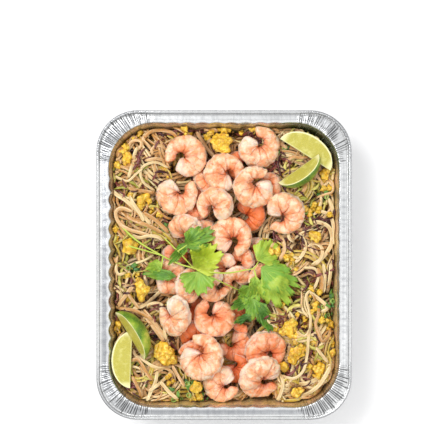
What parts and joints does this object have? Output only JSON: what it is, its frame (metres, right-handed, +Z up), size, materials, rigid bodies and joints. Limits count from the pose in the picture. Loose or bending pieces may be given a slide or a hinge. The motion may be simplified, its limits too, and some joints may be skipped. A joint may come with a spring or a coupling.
{
  "type": "shrimp pad thai in a foil catering pan",
  "caption": "Rectangular foil catering pan heaped with flat rice noodles, curled shrimp, soft egg, lime wedges and coriander sprigs.",
  "frame": {"origin": "middle of the pan's underside, on the surface it stands on", "axes": "+Z up, +Y along the pan's long side, +X across it"},
  "size_m": [0.264, 0.32, 0.0841],
  "materials": {
    "foil": "bright rolled foil with pleated corners",
    "noodles": "moist, lightly oiled rice noodles",
    "shrimp": "moist cooked shrimp, pink and cream",
    "egg": "soft scrambled egg",
    "lime": "wet lime flesh with glossy rind",
    "leaf": "fresh leaf with a soft sheen"
  },
  "bodies": {
    "root": {"pan": "foil", "noodle_bed": "noodles", "shrimp_01": "shrimp", "shrimp_02": "shrimp", "shrimp_03": "shrimp", "shrimp_04": "shrimp", "shrimp_05": "shrimp", "shrimp_06": "shrimp", "shrimp_07": "shrimp", "shrimp_08": "shrimp", "shrimp_09": "shrimp", "shrimp_10": "shrimp", "shrimp_11": "shrimp", "shrimp_12": "shrimp", "shrimp_13": "shrimp", "shrimp_14": "shrimp", "shrimp_15": "shrimp", "shrimp_16": "shrimp", "shrimp_17": "shrimp", "shrimp_18": "shrimp", "shrimp_19": "shrimp", "shrimp_20": "shrimp", "shrimp_21": "shrimp", "shrimp_22": "shrimp", "shrimp_23": "shrimp", "shrimp_24": "shrimp", "shrimp_25": "shrimp", "shrimp_26": "shrimp", "shrimp_27": "shrimp", "shrimp_28": "shrimp", "shrimp_29": "shrimp", "shrimp_30": "shrimp", "shrimp_31": "shrimp", "shrimp_32": "shrimp", "shrimp_33": "shrimp", "shrimp_34": "shrimp", "shrimp_35": "shrimp", "shrimp_36": "shrimp", "shrimp_37": "shrimp", "egg_01": "egg", "egg_02": "egg", "egg_03": "egg", "egg_04": "egg", "egg_05": "egg", "egg_06": "egg", "egg_07": "egg", "egg_08": "egg", "egg_09": "egg", "egg_10": "egg", "egg_11": "egg", "egg_12": "egg", "egg_13": "egg", "egg_14": "egg", "egg_15": "egg", "lime_01": "lime", "lime_02": "lime", "lime_03": "lime", "lime_04": "lime", "coriander_01": "leaf", "coriander_02": "leaf"}
  },
  "joints": []
}
